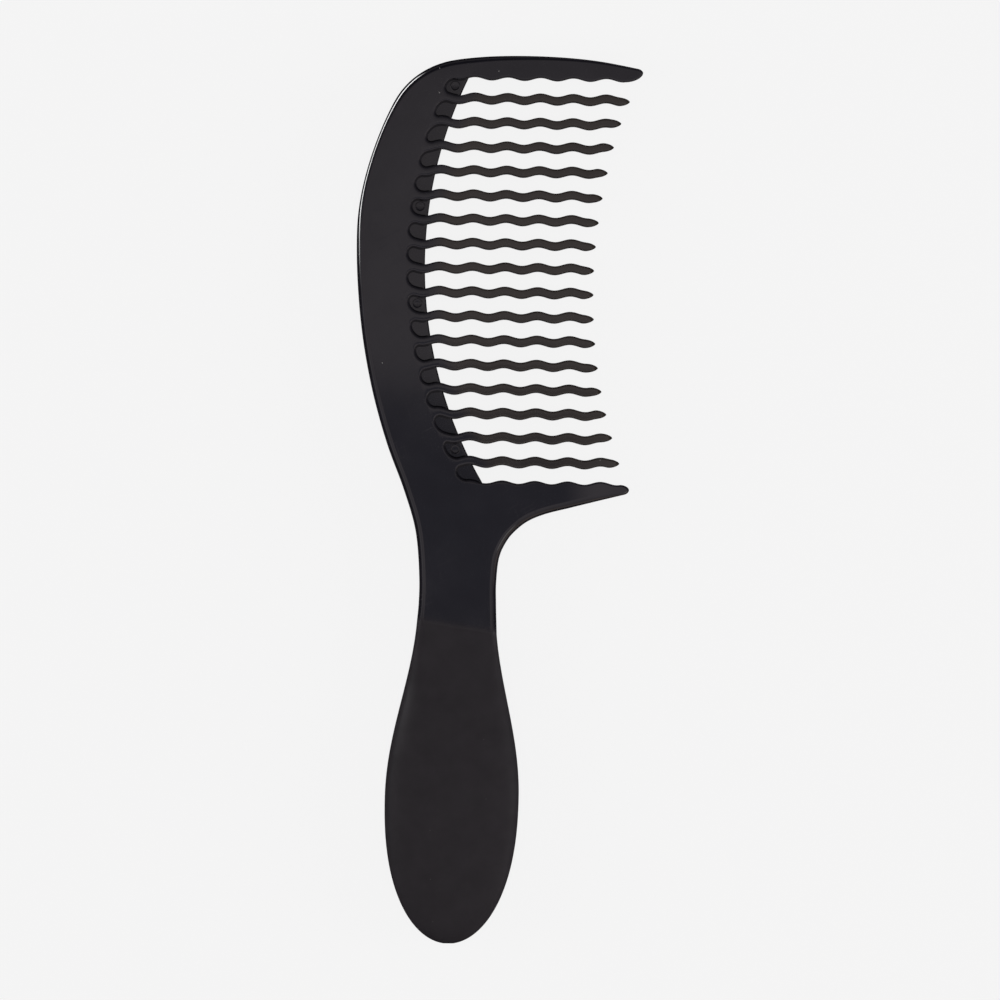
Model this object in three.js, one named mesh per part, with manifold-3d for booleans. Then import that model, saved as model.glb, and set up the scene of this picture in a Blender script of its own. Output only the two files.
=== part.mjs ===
// Wide tooth comb with a paddle handle, as an assembly: a curved spine that ends in a tang,
// sixteen wavy teeth between two thicker guards, a thin curved web that ties the tooth roots
// together, and a domed grip pushed over the tang.
//
// Millimetres. The comb lies flat, with its head towards +Y, its handle towards -Y, its teeth
// towards +X and its thickness along Z. It is drawn about its mid-thickness, and the last
// lines set it down with the origin under the centre of its box.

import * as THREE from 'three';
import { mergeVertices } from 'three/addons/utils/BufferGeometryUtils.js';
import Module from 'manifold-3d';

const wasm = await Module();
wasm.setup();

// Driving dimensions

const BODY_THICKNESS = 7.5;
const EDGE_ROUND_WIDTH = 1.5;
const EDGE_ROUND_HEIGHT = 1.3;
const FIT_GAP = 0.3;

const TOOTH_COUNT = 16;
const TOOTH_PITCH = 6.163;
const FIRST_TOOTH_Y = 102.07;
const TOOTH_WIDTH = 2.2;
const TOOTH_TIP_THICKNESS = 3.2;
const TOOTH_POINT_LENGTH = 3.2;
const TOOTH_TIP_BLUNTNESS = 0.65;
const TOOTH_CHAMFER = 0.45;
const ROOT_FILLET = 1.6;

const WAVE_LENGTH = 8.35;
const WAVE_HEIGHT = 0.4;
const WAVE_CREST_X = 0.46;
const WAVE_STEPS = 4;

// The teeth stand on an arc of the spine, the web ends on a smaller arc about the same centre,
// and the tooth tips end on a wide arc of their own.
const BED_CENTRE = new THREE.Vector2(90, 60.5);
const BED_RADIUS = 114.5;
const WEB_RADIUS = 110;
const WEB_BACK_RADIUS = 117;
const WEB_THICKNESS = 2;
const WEB_TOP_Y = 108;
const WEB_BOTTOM_Y = 2.4;
const WEB_ARC_SEGMENTS = 36;
const TIP_CENTRE = new THREE.Vector2(163, 54);
const TIP_RADIUS = 140;

// Each tooth keeps its full thickness a little way past the web, then its faces curve in towards
// its tip.
const FULL_THICKNESS_PAST_WEB = 0.8;
const HEEL_FULL_THICKNESS_X = 9;
const THINNEST_X = 33;

const HEAD_GUARD_INNER_Y = 107.1;
const HEEL_GUARD_INNER_Y = 4.6;
const GUARD_WAVE_END_X = 30;

const EJECTOR_MARK_RADIUS = 1.15;
const EJECTOR_MARK_DEPTH = 0.25;
const EJECTOR_MARK_GAPS = [0, 5, 9, 15];

const TENON_HEIGHT = 5;
const TENON_DEPTH = 4;
const HEAD_TENON_Y = 107.5;
const HEAD_TENON_HALF_WIDTH = 1.2;
const HEEL_TENON_Y = -1.5;
const HEEL_TENON_HALF_WIDTH = 3;

// The joint between neck and grip slants: its +X side is nearer the end of the grip.
const GRIP_JOINT_Y = -33;
const GRIP_JOINT_SLOPE = -0.15;
const GRIP_END_Y = -113.1;
const GRIP_END_X = -11.56;
const GRIP_LEAN = 0.0115;
const GRIP_WIDEST_Y = -76;
const GRIP_HALF_WIDTH = 17.05;
const NECK_Y = -26.5;
const NECK_HALF_WIDTH = 9.9;
const GRIP_HALF_HEIGHT = 6;
const GRIP_HIGHEST_Y = -68;
const GRIP_NECK_SQUARENESS = 6;
const GRIP_SQUARENESS = 2.4;
const GRIP_SQUARE_LENGTH = 20;

const TANG_END_Y = -96;
const TANG_HALF_WIDTH = 6.5;
const TANG_END_HALF_WIDTH = 4.5;
const TANG_THICKNESS = 4;

// Outer edges of the comb above the grip joint, as points on smooth curves

const BACK_EDGE = [
  [-20.3, -26.5], [-20.25, -20], [-21.4, -8], [-24.4, 2], [-29, 14], [-33.1, 28.2],
  [-36, 44], [-37.4, 62], [-37, 74], [-34.4, 86], [-29.9, 98],
];
const HEAD_EDGE = [
  [-26.5, 104], [-22.2, 108.1], [-16.4, 111], [-8, 112.5], [6, 113.1], [22, 112.2], [38, 109.4],
];
const HEEL_EDGE = [
  [38, 3.4], [28, 0.9], [18, -1.7], [11, -3.6], [7, -5.4], [4, -7.8], [2, -10.2], [0.1, -14.3],
  [-0.65, -21], [-0.6, -26.5],
];

// The comb's own curves

function wave(x) {
  return WAVE_HEIGHT * Math.cos(2 * Math.PI * (x - WAVE_CREST_X) / WAVE_LENGTH);
}

function arcX(centre, radius, y) {
  return centre.x - Math.sqrt(radius ** 2 - (y - centre.y) ** 2);
}

// Where a tooth at height y starts to thin.
function thinningX(y) {
  return arcX(BED_CENTRE, WEB_RADIUS, y) + FULL_THICKNESS_PAST_WEB;
}

// Share of the full thickness at x, on a tooth or guard that starts to thin at startX. Its faces
// start level and slope more and more.
function thicknessShare(x, startX) {
  const along = THREE.MathUtils.clamp((x - startX) / (THINNEST_X - startX), 0, 1);
  const mostThinned = 1 - TOOTH_TIP_THICKNESS / BODY_THICKNESS;
  return 1 - mostThinned * along ** 2;
}

function easedShare(start, end, value) {
  const along = THREE.MathUtils.clamp((value - start) / (end - start), 0, 1);
  return (1 - Math.cos(Math.PI * along)) / 2;
}

// Solids

function toSolid(geometry) {
  const bare = geometry.clone();
  bare.deleteAttribute('normal');
  bare.deleteAttribute('uv');
  const merged = mergeVertices(bare, 1e-4);
  return new wasm.Manifold(new wasm.Mesh({
    numProp: 3,
    vertProperties: new Float32Array(merged.attributes.position.array),
    triVerts: new Uint32Array(merged.index.array),
  }));
}

function toGeometry(solid) {
  const mesh = solid.getMesh();
  const geometry = new THREE.BufferGeometry();
  geometry.setAttribute('position', new THREE.BufferAttribute(mesh.vertProperties, 3));
  geometry.setIndex(new THREE.BufferAttribute(mesh.triVerts, 1));
  geometry.computeVertexNormals();
  return geometry;
}

function reshape(geometry, move) {
  const positions = geometry.attributes.position;
  const point = new THREE.Vector3();
  for (let i = 0; i < positions.count; i += 1) {
    point.fromBufferAttribute(positions, i);
    move(point);
    positions.setXYZ(i, point.x, point.y, point.z);
  }
  return geometry;
}

function block(minX, maxX, minY, maxY, height) {
  const box = new THREE.BoxGeometry(maxX - minX, maxY - minY, height);
  box.translate((minX + maxX) / 2, (minY + maxY) / 2, 0);
  return toSolid(box);
}

function plate(shape, thickness, curveSegments = 12) {
  const geometry = new THREE.ExtrudeGeometry(shape, {
    depth: thickness,
    bevelEnabled: false,
    curveSegments,
  });
  geometry.translate(0, 0, -thickness / 2);
  return toSolid(geometry);
}

function disc(centre, radius, thickness, segments) {
  const geometry = new THREE.CylinderGeometry(radius, radius, thickness, segments);
  geometry.rotateX(Math.PI / 2);
  geometry.translate(centre.x, centre.y, 0);
  return toSolid(geometry);
}

function bedDisc(radius) {
  const segments = 200;
  return disc(BED_CENTRE, radius, 3 * BODY_THICKNESS, segments);
}

function edgePoints(points, count) {
  const route = points.map(([x, y]) => new THREE.Vector3(x, y, 0));
  const curve = new THREE.CatmullRomCurve3(route, false, 'centripetal');
  return curve.getSpacedPoints(count).map(({ x, y }) => new THREE.Vector2(x, y));
}

// The grip's plan: its middle line leans slightly, and its half width follows a formula.

function gripCentreX(y) {
  return GRIP_END_X + GRIP_LEAN * (y - GRIP_END_Y);
}

function gripHalfWidth(y) {
  if (y > GRIP_WIDEST_Y) {
    const swell = easedShare(NECK_Y, GRIP_WIDEST_Y, y);
    return NECK_HALF_WIDTH + (GRIP_HALF_WIDTH - NECK_HALF_WIDTH) * swell;
  }
  const along = (GRIP_WIDEST_Y - y) / (GRIP_WIDEST_Y - GRIP_END_Y);
  return GRIP_HALF_WIDTH * Math.sqrt(1 - along ** 2.3);
}

function gripHalfHeight(y) {
  if (y > GRIP_HIGHEST_Y) {
    const swell = easedShare(GRIP_JOINT_Y + 4, GRIP_HIGHEST_Y, y);
    return BODY_THICKNESS / 2 + (GRIP_HALF_HEIGHT - BODY_THICKNESS / 2) * swell;
  }
  const along = (GRIP_HIGHEST_Y - y) / (GRIP_HIGHEST_Y - GRIP_END_Y);
  return GRIP_HALF_HEIGHT * Math.sqrt(1 - along ** 2.6);
}

// Where the grip's outline is at y, on the side -1 or 1.
function gripSide(side, y) {
  return [gripCentreX(y) + side * gripHalfWidth(y), y];
}

// Spine: the comb's whole outer edge, cut back to the bed of the teeth

function outerBody() {
  const lowerEndY = GRIP_JOINT_Y - 12;
  const backAndHeadSteps = 64;
  const heelSteps = 34;
  const shape = new THREE.Shape([
    new THREE.Vector2(...gripSide(-1, lowerEndY)),
    ...edgePoints([gripSide(-1, GRIP_JOINT_Y), ...BACK_EDGE, ...HEAD_EDGE], backAndHeadSteps),
    ...edgePoints([...HEEL_EDGE, gripSide(1, GRIP_JOINT_Y)], heelSteps),
    new THREE.Vector2(...gripSide(1, lowerEndY)),
  ]);
  const geometry = new THREE.ExtrudeGeometry(shape, {
    depth: BODY_THICKNESS - 2 * EDGE_ROUND_HEIGHT,
    bevelThickness: EDGE_ROUND_HEIGHT,
    bevelSize: EDGE_ROUND_WIDTH,
    bevelOffset: -EDGE_ROUND_WIDTH,
    bevelSegments: 3,
  });
  geometry.translate(0, 0, EDGE_ROUND_HEIGHT - BODY_THICKNESS / 2);
  return toSolid(geometry);
}

// A flat tongue that runs down inside the grip; extra is the clearance all round it.
function tang(extra) {
  const shape = new THREE.Shape();
  const startY = GRIP_JOINT_Y + 6;
  const startX = gripCentreX(startY);
  const endX = gripCentreX(TANG_END_Y);
  const endHalfWidth = TANG_END_HALF_WIDTH + extra;
  shape.moveTo(startX - TANG_HALF_WIDTH - extra, startY);
  shape.lineTo(endX - endHalfWidth, TANG_END_Y + TANG_END_HALF_WIDTH);
  shape.absarc(endX, TANG_END_Y + TANG_END_HALF_WIDTH, endHalfWidth, Math.PI, 2 * Math.PI, false);
  shape.lineTo(startX + TANG_HALF_WIDTH + extra, startY);
  shape.closePath();
  return plate(shape, TANG_THICKNESS + 2 * extra, 8);
}

// The web's plan, grown by extra: a band between two arcs with square ends.
function webShape(extra, backRadius) {
  const front = WEB_RADIUS - extra;
  const top = WEB_TOP_Y + extra - BED_CENTRE.y;
  const bottom = WEB_BOTTOM_Y - extra - BED_CENTRE.y;
  const angle = (radius, rise) => Math.PI - Math.asin(rise / radius);
  const { x, y } = BED_CENTRE;
  const shape = new THREE.Shape();
  shape.absarc(x, y, front, angle(front, bottom), angle(front, top), true);
  shape.absarc(x, y, backRadius, angle(backRadius, top), angle(backRadius, bottom), false);
  shape.closePath();
  return shape;
}

function webSlot(backRadius) {
  return plate(webShape(FIT_GAP, backRadius), WEB_THICKNESS + 2 * FIT_GAP, WEB_ARC_SEGMENTS);
}

function toothCentreY(index) {
  return FIRST_TOOTH_Y - TOOTH_PITCH * index;
}

function toothTipX(index) {
  return arcX(TIP_CENTRE, TIP_RADIUS, toothCentreY(index));
}

// Every tooth and guard has a tenon in the spine, which starts from the bed of the teeth.
function tenonBlock({ y, halfWidth }, extra) {
  const rootX = arcX(BED_CENTRE, BED_RADIUS, y);
  return block(
    rootX - TENON_DEPTH - extra,
    rootX + TENON_DEPTH,
    y - halfWidth - extra,
    y + halfWidth + extra,
    TENON_HEIGHT + 2 * extra,
  );
}

function toothTenon(index) {
  const y = toothCentreY(index);
  return { y: y + wave(arcX(BED_CENTRE, BED_RADIUS, y)), halfWidth: TOOTH_WIDTH / 2 };
}

const HEAD_TENON = { y: HEAD_TENON_Y, halfWidth: HEAD_TENON_HALF_WIDTH };
const HEEL_TENON = { y: HEEL_TENON_Y, halfWidth: HEEL_TENON_HALF_WIDTH };

// Everything on the grip's side of the slanting joint.
function belowJoint() {
  const reach = 60;
  const below = new THREE.BoxGeometry(2 * reach, reach, 3 * BODY_THICKNESS);
  below.translate(0, -reach / 2, 0);
  below.rotateZ(Math.atan(GRIP_JOINT_SLOPE));
  below.translate(gripCentreX(GRIP_JOINT_Y), GRIP_JOINT_Y, 0);
  return toSolid(below);
}

function spine(body) {
  let solid = body
    .subtract(belowJoint())
    .subtract(bedDisc(BED_RADIUS + FIT_GAP))
    .subtract(webSlot(WEB_BACK_RADIUS + FIT_GAP));
  for (let index = 0; index < TOOTH_COUNT; index += 1) {
    solid = solid.subtract(tenonBlock(toothTenon(index), FIT_GAP));
  }
  return solid
    .subtract(tenonBlock(HEAD_TENON, FIT_GAP))
    .subtract(tenonBlock(HEEL_TENON, FIT_GAP))
    .add(tang(0));
}

// Guards: the two thick end teeth, with the comb's outer edge on one side and a wavy edge on
// the other. side is 1 at the head, where the outer edge is above, and -1 at the heel.

function wavyEdge(meanY, fromX) {
  const step = WAVE_LENGTH / WAVE_STEPS;
  const points = [];
  for (let x = fromX; x < GUARD_WAVE_END_X; x += step) {
    points.push(new THREE.Vector2(x, meanY + wave(x)));
  }
  return points;
}

function headGuardShape() {
  const innerY = HEAD_GUARD_INNER_Y;
  const rootX = arcX(BED_CENTRE, BED_RADIUS, innerY);
  const shape = new THREE.Shape();
  shape.moveTo(rootX - 8, 122);
  shape.lineTo(rootX - 8, innerY - ROOT_FILLET);
  shape.lineTo(rootX, innerY - ROOT_FILLET);
  shape.quadraticCurveTo(rootX, innerY, rootX + ROOT_FILLET, innerY + wave(rootX + ROOT_FILLET));
  wavyEdge(innerY, rootX + 2 * ROOT_FILLET).forEach(({ x, y }) => shape.lineTo(x, y));
  shape.quadraticCurveTo(34.6, 107.2, 34.8, 109.1);
  shape.quadraticCurveTo(34.8, 110.1, 33.2, 110.6);
  shape.lineTo(33.2, 122);
  shape.closePath();
  return shape;
}

function heelGuardShape() {
  const innerY = HEEL_GUARD_INNER_Y;
  const rootX = arcX(BED_CENTRE, BED_RADIUS, innerY);
  const shape = new THREE.Shape();
  shape.moveTo(rootX - 8, -30);
  shape.lineTo(33, -30);
  shape.lineTo(31.4, 1.5);
  shape.quadraticCurveTo(32.8, 2, 32.8, 2.9);
  shape.quadraticCurveTo(32.7, 4.1, 31.2, 4.1);
  wavyEdge(innerY, rootX + 2 * ROOT_FILLET).reverse().forEach(({ x, y }) => shape.lineTo(x, y));
  shape.lineTo(rootX + ROOT_FILLET, innerY + wave(rootX + ROOT_FILLET));
  shape.quadraticCurveTo(rootX, innerY, rootX - 0.6, innerY + ROOT_FILLET);
  shape.lineTo(rootX - 8, innerY + ROOT_FILLET);
  shape.closePath();
  return shape;
}

function guard(body, shape, tenon, startX) {
  const blank = body
    .intersect(plate(shape, 3 * BODY_THICKNESS, 6))
    .intersect(bedDisc(BED_RADIUS));
  const tapered = reshape(toGeometry(blank), (point) => {
    point.z *= thicknessShare(point.x, startX);
  });
  return toSolid(tapered)
    .add(tenonBlock(tenon, 0))
    .subtract(webSlot(WEB_BACK_RADIUS + TENON_DEPTH));
}

// Teeth: an eight-sided section swept along a wavy line, wider at the root and rounded off at
// the tip

function toothHalfWidth(fromTip) {
  const along = THREE.MathUtils.clamp(fromTip / TOOTH_POINT_LENGTH, 0, 1);
  return (TOOTH_WIDTH / 2) * (1 - (1 - along) ** 2) ** TOOTH_TIP_BLUNTNESS;
}

// The wave dies out before the tip, so that the point runs straight.
function toothLineY(index, x) {
  const fadeLength = 1.6;
  const fadeStart = toothTipX(index) - 3.6;
  const past = THREE.MathUtils.clamp(x - fadeStart, 0, fadeLength);
  const waveX = Math.min(x, fadeStart) + past - past ** 2 / (2 * fadeLength);
  return toothCentreY(index) + wave(waveX);
}

function rootFlare(x, wallX) {
  const clear = THREE.MathUtils.clamp(x - wallX, 0, ROOT_FILLET);
  return ROOT_FILLET - Math.sqrt(ROOT_FILLET ** 2 - (ROOT_FILLET - clear) ** 2);
}

function toothStations(index) {
  const tipX = toothTipX(index);
  const rootX = arcX(BED_CENTRE, BED_RADIUS, toothCentreY(index));
  const step = WAVE_LENGTH / WAVE_STEPS;
  const stations = [rootX - 2.5, rootX - 0.7, rootX, rootX + 0.4, rootX + 0.9];
  const firstCrest = WAVE_CREST_X + step * Math.ceil((rootX + 1.8 - WAVE_CREST_X) / step);
  for (let x = firstCrest; x < tipX - TOOTH_POINT_LENGTH - 0.5; x += step) {
    stations.push(x);
  }
  for (const fromTip of [TOOTH_POINT_LENGTH, 2, 1.1, 0.45, 0.1, 0]) {
    stations.push(tipX - fromTip);
  }
  return stations;
}

function tooth(index) {
  const stations = toothStations(index);
  const tipX = toothTipX(index);
  const centreY = toothCentreY(index);
  const startX = thinningX(centreY);
  const smallestHalfWidth = 0.12;
  const smallestTipShare = 0.25;
  const sides = 8;
  const wallAbove = arcX(BED_CENTRE, BED_RADIUS, centreY + TOOTH_WIDTH / 2);
  const wallBelow = arcX(BED_CENTRE, BED_RADIUS, centreY - TOOTH_WIDTH / 2);
  const sweep = new THREE.CylinderGeometry(1, 1, stations.length - 1, sides, stations.length - 1);
  sweep.rotateY(Math.PI / sides);
  sweep.rotateZ(-Math.PI / 2);
  reshape(sweep, (point) => {
    const station = Math.round(point.x + (stations.length - 1) / 2);
    const x = stations[station];
    const pointHalfWidth = toothHalfWidth(tipX - x);
    const halfWidth = Math.max(pointHalfWidth, smallestHalfWidth);
    const lineY = toothLineY(index, x);
    const tipShare = Math.max(pointHalfWidth / (TOOTH_WIDTH / 2), smallestTipShare);
    const halfHeight = (BODY_THICKNESS / 2) * thicknessShare(x, startX) * tipShare;
    const chamfer = Math.min(TOOTH_CHAMFER, halfWidth / 2);
    const flare = point.y > 0 ? rootFlare(x, wallAbove) : rootFlare(x, wallBelow);
    const onLongSide = Math.abs(point.y) > Math.abs(point.z);
    const onAxis = Math.hypot(point.y, point.z) < 0.5;
    const reachY = onAxis ? 0 : halfWidth + flare - (onLongSide ? 0 : chamfer);
    const reachZ = onAxis ? 0 : halfHeight - (onLongSide ? chamfer : 0);
    point.set(x, lineY + Math.sign(point.y) * reachY, Math.sign(point.z) * reachZ);
  });
  return toSolid(sweep)
    .intersect(bedDisc(BED_RADIUS))
    .add(tenonBlock(toothTenon(index), 0))
    .subtract(webSlot(WEB_BACK_RADIUS + TENON_DEPTH));
}

// Web: the thin curved plate between the tooth roots, with four shallow round ejector marks

function webPlate() {
  let solid = plate(webShape(0, WEB_BACK_RADIUS), WEB_THICKNESS, WEB_ARC_SEGMENTS);
  const markRadius = (WEB_RADIUS + BED_RADIUS) / 2;
  for (const gap of EJECTOR_MARK_GAPS) {
    const y = FIRST_TOOTH_Y + TOOTH_PITCH * (0.5 - gap);
    const centre = new THREE.Vector2(arcX(BED_CENTRE, markRadius, y), y);
    const mark = disc(centre, EJECTOR_MARK_RADIUS, 2 * EJECTOR_MARK_DEPTH, 20);
    solid = solid.subtract(mark.translate([0, 0, WEB_THICKNESS / 2]));
  }
  return solid;
}

// Grip: rounded sections from the joint on the neck to the rounded end, hollow for the tang

function gripSquareness(y) {
  const rounded = easedShare(GRIP_JOINT_Y, GRIP_JOINT_Y - GRIP_SQUARE_LENGTH, y);
  return GRIP_NECK_SQUARENESS + (GRIP_SQUARENESS - GRIP_NECK_SQUARENESS) * rounded;
}

function snapToZero(value) {
  return Math.abs(value) < 1e-6 ? 0 : value;
}

function grip() {
  const sides = 36;
  const rings = 20;
  const topY = GRIP_JOINT_Y - FIT_GAP;
  const slantLength = 24;
  const endShare = 0.97;
  const sweep = new THREE.CylinderGeometry(1, 1, 1, sides, rings);
  reshape(sweep, (point) => {
    const turn = Math.atan2(point.z, point.x);
    const onAxis = Math.hypot(point.x, point.z) < 0.5;
    const down = Math.sin((0.5 - point.y) * endShare * Math.PI / 2);
    const y = topY + (GRIP_END_Y - topY) * down;
    const slant = GRIP_JOINT_SLOPE * (1 - easedShare(topY, topY - slantLength, y));
    const power = 2 / gripSquareness(y);
    const cos = snapToZero(Math.cos(turn));
    const sin = snapToZero(Math.sin(turn));
    const reachX = onAxis ? 0 : Math.sign(cos) * Math.abs(cos) ** power;
    const reachZ = onAxis ? 0 : Math.sign(sin) * Math.abs(sin) ** power;
    const offsetX = gripHalfWidth(y) * reachX;
    point.set(gripCentreX(y) + offsetX, y + slant * offsetX, gripHalfHeight(y) * reachZ);
  });
  return toSolid(sweep).subtract(tang(FIT_GAP));
}

// Materials

function plastic(name, color, roughness) {
  return new THREE.MeshStandardMaterial({ name, color, roughness, metalness: 0 });
}

const glossBlack = plastic('gloss_black', 0x2a292c, 0.3);
const satinBlack = plastic('satin_black', 0x2e2a2b, 0.45);
const softBlack = plastic('soft_black', 0x282628, 0.6);

// Assembly

const group = new THREE.Group();
group.name = 'wide_tooth_comb';

function addPart(name, solid, material) {
  const mesh = new THREE.Mesh(toGeometry(solid), material);
  mesh.name = name;
  group.add(mesh);
}

const body = outerBody();
addPart('spine', spine(body), glossBlack);
const headThinningX = thinningX(HEAD_GUARD_INNER_Y);
addPart('head_guard', guard(body, headGuardShape(), HEAD_TENON, headThinningX), glossBlack);
addPart(
  'heel_guard',
  guard(body, heelGuardShape(), HEEL_TENON, HEEL_FULL_THICKNESS_X),
  glossBlack,
);
addPart('web_plate', webPlate(), glossBlack);
addPart('handle_grip', grip(), softBlack);
for (let index = 0; index < TOOTH_COUNT; index += 1) {
  const number = String(index + 1).padStart(2, '0');
  addPart(`tooth_${number}`, tooth(index), satinBlack);
}

const box = new THREE.Box3().setFromObject(group);
const centre = box.getCenter(new THREE.Vector3());
group.position.set(-centre.x, -centre.y, -box.min.z);

export default group;
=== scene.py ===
import math
from collections import namedtuple

import bpy
import numpy as np
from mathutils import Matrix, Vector
from mathutils.geometry import delaunay_2d_cdt


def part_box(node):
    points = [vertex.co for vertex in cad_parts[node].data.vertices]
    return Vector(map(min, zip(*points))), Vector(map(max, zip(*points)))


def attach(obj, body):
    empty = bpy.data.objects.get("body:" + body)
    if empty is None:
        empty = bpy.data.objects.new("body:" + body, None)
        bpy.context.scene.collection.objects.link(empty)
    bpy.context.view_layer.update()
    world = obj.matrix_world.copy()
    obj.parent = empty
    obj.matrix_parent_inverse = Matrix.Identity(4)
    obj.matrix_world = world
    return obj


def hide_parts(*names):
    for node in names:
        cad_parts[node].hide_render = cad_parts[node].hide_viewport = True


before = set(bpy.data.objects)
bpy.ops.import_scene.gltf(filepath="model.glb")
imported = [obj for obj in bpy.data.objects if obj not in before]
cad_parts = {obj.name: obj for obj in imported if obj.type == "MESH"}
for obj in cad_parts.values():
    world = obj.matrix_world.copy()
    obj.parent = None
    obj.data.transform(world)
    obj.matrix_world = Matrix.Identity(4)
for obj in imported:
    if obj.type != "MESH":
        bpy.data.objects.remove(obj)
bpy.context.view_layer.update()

# A wide tooth comb lying on a pale table, seen from straight above. Shapes are drawn in
# millimetres about the comb's mid-thickness, in the plan that the CAD model was drawn in, and
# are placed in the frame by the spine's box.

MM = 0.001

# The comb's plan. Heights in it are y, the head is at the top, and the teeth point towards +x.

TOOTH_COUNT = 16
TOOTH_PITCH = 6.163
FIRST_TOOTH_Y = 102.07
TOOTH_HALF_WIDTH = 1.15
TOOTH_POINT_LENGTH = 3.2
TOOTH_POINT_POWER = 0.65
TOOTH_NOSE_LENGTH = 1.3
TIP_THICKNESS_SHARE = 3.2 / 7.5
THINNEST_X = 33.0
WAVE_LENGTH = 8.35
WAVE_HEIGHT = 0.4
WAVE_CREST_X = 0.46
WAVE_FADE_FROM_TIP = 3.6
WAVE_FADE_LENGTH = 1.6
BED_CENTRE = (90.0, 60.5)
BED_RADIUS = 114.5
WEB_RADIUS = 110.0
WEB_BACK_RADIUS = 117.0
WEB_TOP_Y = 108.0
WEB_BOTTOM_Y = 2.4
WEB_HALF_THICKNESS = 1.0
TIP_CENTRE = (163.0, 54.0)
TIP_RADIUS = 140.0
ROOT_FILLET = 1.9
RIB_BEYOND_WEB = 0.8
MARKED_POCKETS = (0, 5, 9, 15)
TANG_END_Y = -96.0

GRIP_JOINT_Y = -33.0
GRIP_JOINT_SLOPE = -0.15
GRIP_SLANT_LENGTH = 24.0
GRIP_END_Y = -113.1
GRIP_END_X = -11.56
GRIP_LEAN = 0.0115
GRIP_WIDEST_Y = -76.0
GRIP_HALF_WIDTH = 17.05
NECK_Y = -26.5
NECK_HALF_WIDTH = 9.9
GRIP_HALF_HEIGHT = 6.0
GRIP_HIGHEST_Y = -68.0
GRIP_DOME_LENGTH = 18.0
GRIP_OVAL_POWER = 0.87
GRIP_END_PLAN_POWER = 2.3
GRIP_END_SIDE_POWER = 2.6

HEAD_INNER_Y = 107.1
HEAD_INNER_END_X = 30.4
HEAD_OUTER_END_X = 33.2
HEAD_NOSE_CORNER = (34.4, 106.9)
HEAD_NOSE_TIP = (34.8, 109.1)
HEAD_NOSE_OUTER_CORNER = (34.8, 110.15)
HEEL_INNER_Y = 4.6
HEEL_INNER_END_X = 30.6
HEEL_OUTER_END_X = 31.3
HEEL_NOSE_OUTER_CORNER = (32.8, 1.95)
HEEL_NOSE_TIP = (32.8, 3.0)
HEEL_NOSE_CORNER = (32.7, 4.2)
HEEL_CUT_X = 9.0

BACK_EDGE = [
    (-20.3, -26.5), (-20.25, -20), (-21.4, -8), (-24.4, 2), (-29, 14), (-33.1, 28.2),
    (-36, 44), (-37.4, 62), (-37, 74), (-34.4, 86), (-29.9, 98),
]
HEAD_EDGE = [
    (-26.5, 104), (-22.2, 108.1), (-16.4, 111), (-8, 112.5), (6, 113.09), (22, 112.2), (38, 109.4),
]
HEEL_EDGE = [
    (38, 3.4), (28, 0.9), (18, -1.7), (11, -3.6), (7, -5.4), (4, -7.8), (2, -10.2), (0.1, -14.3),
    (-0.65, -21), (-0.6, -26.5),
]

# Sections of the edges. Each wall stands a little back from a fine ridge at the parting line,
# leans in, and ends in a rounding, given by its width and height. An edge's softness goes from 0,
# the crisp rounding, to 1, the soft one. A pocket's wall also spreads towards its foot on the web,
# and the face dips a little at a pocket's rim.

PARTING_RIDGE = 0.05
PARTING_HALF_HEIGHT = 0.09
SOFT_ROUND = (1.5, 1.3)
CRISP_ROUND = (0.3, 0.2)
WALL_LEAN = 0.1
WALL_STEPS = 4
ROUND_STEPS = 8
POCKET_SPREAD = 0.35
POCKET_SPREAD_POWER = 1.5
POCKET_RIM_WIDTH = 0.25
POCKET_RIM_DROP = 0.011
PLAIN_RIM_WIDTH = 0.1
WEB_ROUND = 0.3
WEB_LEAN = 0.08
WEB_ROUND_STEPS = 5
TOOTH_ROUND = (0.3, 0.2)
TOOTH_LEAN = 0.15

# Softness along the outer edges, from the back over the shoulder to the head and the guards. The
# pairs are the heights over which it changes.

SHOULDER_Y = 88.0
BACK_TO_SHOULDER = (62.0, 82.0)
SHOULDER_TO_HEAD = (92.0, 106.0)
SHOULDER_SOFTNESS = 0.5
HEAD_SOFTNESS = 0.85
HEAD_TIP_SOFTNESS = 0.1
HEEL_TIP_SOFTNESS = 0.3
HEEL_SOFTENING_LENGTH = 5.0

# The ejector marks' section, as radius and height: a disc that lies a little low, inside a low lip

MARK_PROFILE = [
    (0.0, -0.03), (0.8, -0.03), (0.95, -0.015), (1.06, 0.03), (1.1, 0.037), (1.14, 0.033),
    (1.23, 0.003), (1.28, 0.0), (1.5, 0.0),
]
MARK_SIDES = 36

# How finely the curves are drawn

CURVE_SPACING = 0.5
SIDE_SPACING = 0.35
WEB_ARC_POINTS = 160
TOOTH_RINGS = 110
TOOTH_POINT_RINGS = 24
GRIP_RINGS = 150
GRIP_QUARTER_STEPS = 28

# Lengths over which one finish turns into another

JOINT_FADE = 2.6
TOOTH_FADE = 5.0

# The studio. Distances are in metres and angles in degrees, and the sensor is in millimetres.

CAMERA_DISTANCE = 2.5
CAMERA_TURN = 0.87
CAMERA_FIELD_WIDTH = 0.2545
SENSOR_WIDTH = 36.0
CAMERA_CLIP_END = 50.0
FLOOR_HALF_SIZE = 8.0
FLOOR_COLOUR = (0.05, 0.05, 0.05, 1)
FLOOR_GLOW = 0.868
WORLD_COLOUR = (1.0, 0.92, 0.96, 1)
OVERHEAD_LIGHT = 0.72
FAINTEST_LIGHT = 0.04

# The flags that darken the light from above, by the direction that it comes from: the near flag
# and the far flag deepen with its y, and both end where its z gets small.

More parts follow.
